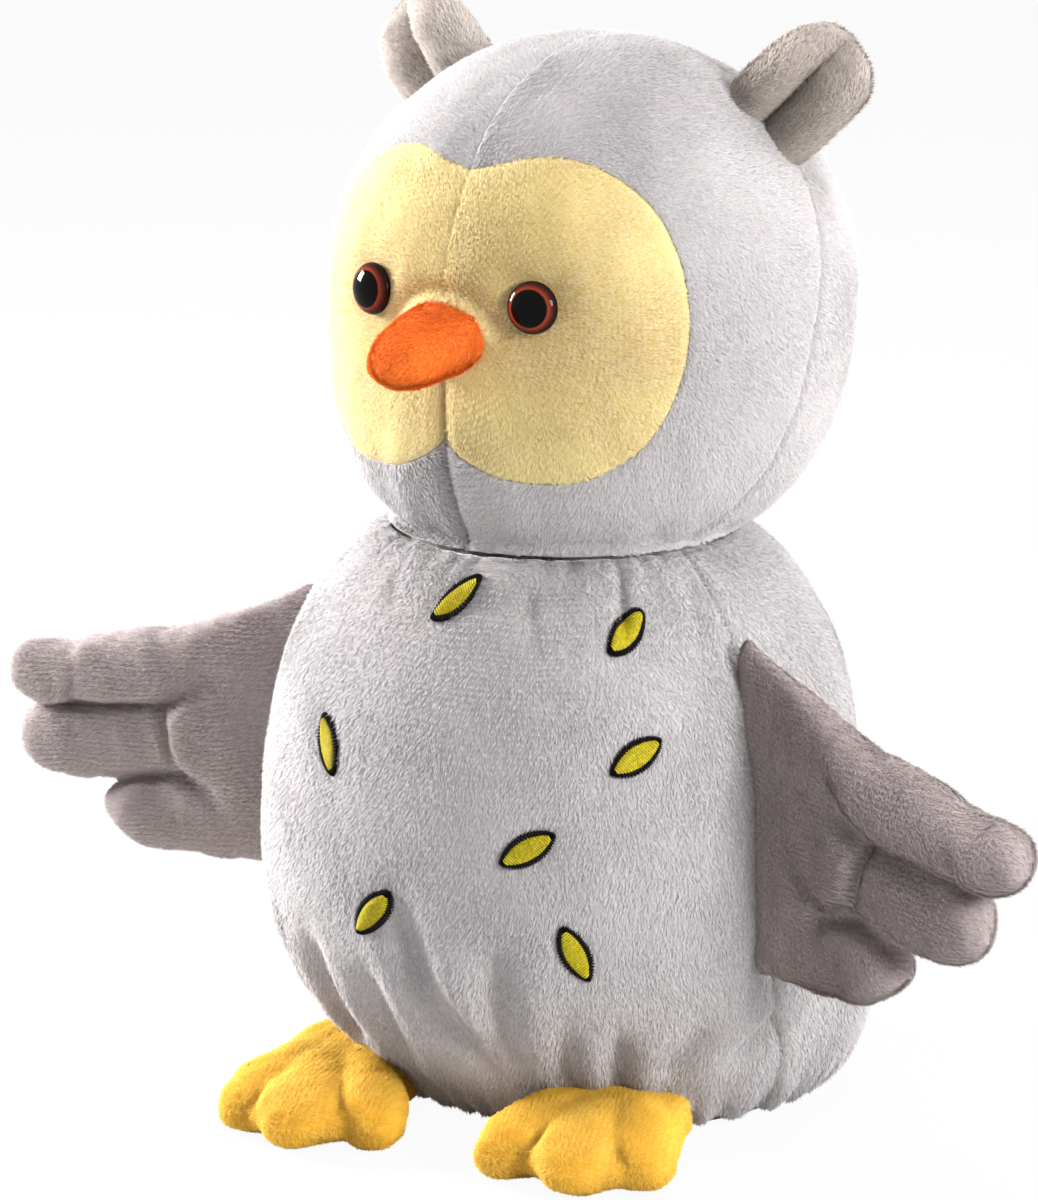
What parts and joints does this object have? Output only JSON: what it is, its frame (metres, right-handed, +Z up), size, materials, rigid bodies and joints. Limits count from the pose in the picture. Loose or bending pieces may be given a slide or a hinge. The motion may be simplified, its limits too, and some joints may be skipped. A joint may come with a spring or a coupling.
{
  "type": "plush owl",
  "caption": "Standing stuffed owl toy with a round head, a two-lobed face, a soft beak, button eyes, short folded ears, spread wings with stitched feathers and flat toed feet.",
  "frame": {"origin": "centre of the base panel, on the surface that the toy stands on", "axes": "the owl faces -Y, its left wing points along +X and its head is up along +Z"},
  "size_m": [0.2941, 0.161, 0.2568],
  "materials": {
    "grey_plush": "short brushed pile",
    "yellow_plush": "short brushed pile",
    "orange_plush": "short brushed pile",
    "taupe_plush": "short brushed pile",
    "gold_plush": "short brushed pile",
    "filling": "loose fibre",
    "pellet_cloth": "plain weave",
    "fleck_thread": "satin stitch",
    "eye_glaze": "polished",
    "washer_plastic": "moulded"
  },
  "bodies": {
    "body": {"body_front": "grey_plush", "body_back_left": "grey_plush", "body_back_right": "grey_plush", "body_base": "grey_plush", "foot_upper_left": "gold_plush", "foot_sole_left": "gold_plush", "foot_upper_right": "gold_plush", "foot_sole_right": "gold_plush", "body_filling": "filling", "foot_filling_left": "filling", "foot_filling_right": "filling", "pellet_bag": "pellet_cloth", "fleck_1": "fleck_thread", "fleck_2": "fleck_thread", "fleck_3": "fleck_thread", "fleck_4": "fleck_thread", "fleck_5": "fleck_thread", "fleck_6": "fleck_thread", "fleck_7": "fleck_thread"},
    "head": {"face_left": "yellow_plush", "face_right": "yellow_plush", "hood_left": "grey_plush", "hood_right": "grey_plush", "head_back_left": "grey_plush", "head_back_right": "grey_plush", "head_filling": "filling", "beak_skin": "orange_plush", "beak_filling": "filling", "eye_left": "eye_glaze", "eye_right": "eye_glaze", "eye_washer_left": "washer_plastic", "eye_washer_right": "washer_plastic"},
    "wing_left": {"wing_front_left": "taupe_plush", "wing_back_left": "taupe_plush", "wing_filling_left": "filling"},
    "ear_left": {"ear_back_left": "taupe_plush", "ear_lining_left": "taupe_plush"},
    "wing_right": {"wing_front_right": "taupe_plush", "wing_back_right": "taupe_plush", "wing_filling_right": "filling"},
    "ear_right": {"ear_back_right": "taupe_plush", "ear_lining_right": "taupe_plush"}
  },
  "joints": [
    {"name": "head_turn", "type": "hinge", "parent": "body", "child": "head", "pos_m": [0, -0.021, 0.14], "axis": [0, 0, 1], "range_deg": [-15, 15], "stiffness_Nm_per_rad": 0.3},
    {"name": "wing_left_swing", "type": "hinge", "parent": "body", "child": "wing_left", "pos_m": [0.07275, -0.03719, 0.04514], "axis": [0.1363, 0.0091, -0.9906], "range_deg": [-35, 45], "stiffness_Nm_per_rad": 0.05},
    {"name": "wing_right_swing", "type": "hinge", "parent": "body", "child": "wing_right", "pos_m": [-0.07275, -0.03719, 0.04514], "axis": [0.1363, -0.0091, 0.9906], "range_deg": [-35, 45], "stiffness_Nm_per_rad": 0.05},
    {"name": "ear_left_fold", "type": "hinge", "parent": "head", "child": "ear_left", "pos_m": [0.04298, -0.00068, 0.23508], "axis": [-0.739, 0.1447, 0.6579], "range_deg": [-20, 20], "stiffness_Nm_per_rad": 0.01},
    {"name": "ear_right_fold", "type": "hinge", "parent": "head", "child": "ear_right", "pos_m": [-0.04298, -0.00068, 0.23508], "axis": [0.739, 0.1447, 0.6579], "range_deg": [-20, 20], "stiffness_Nm_per_rad": 0.01}
  ]
}
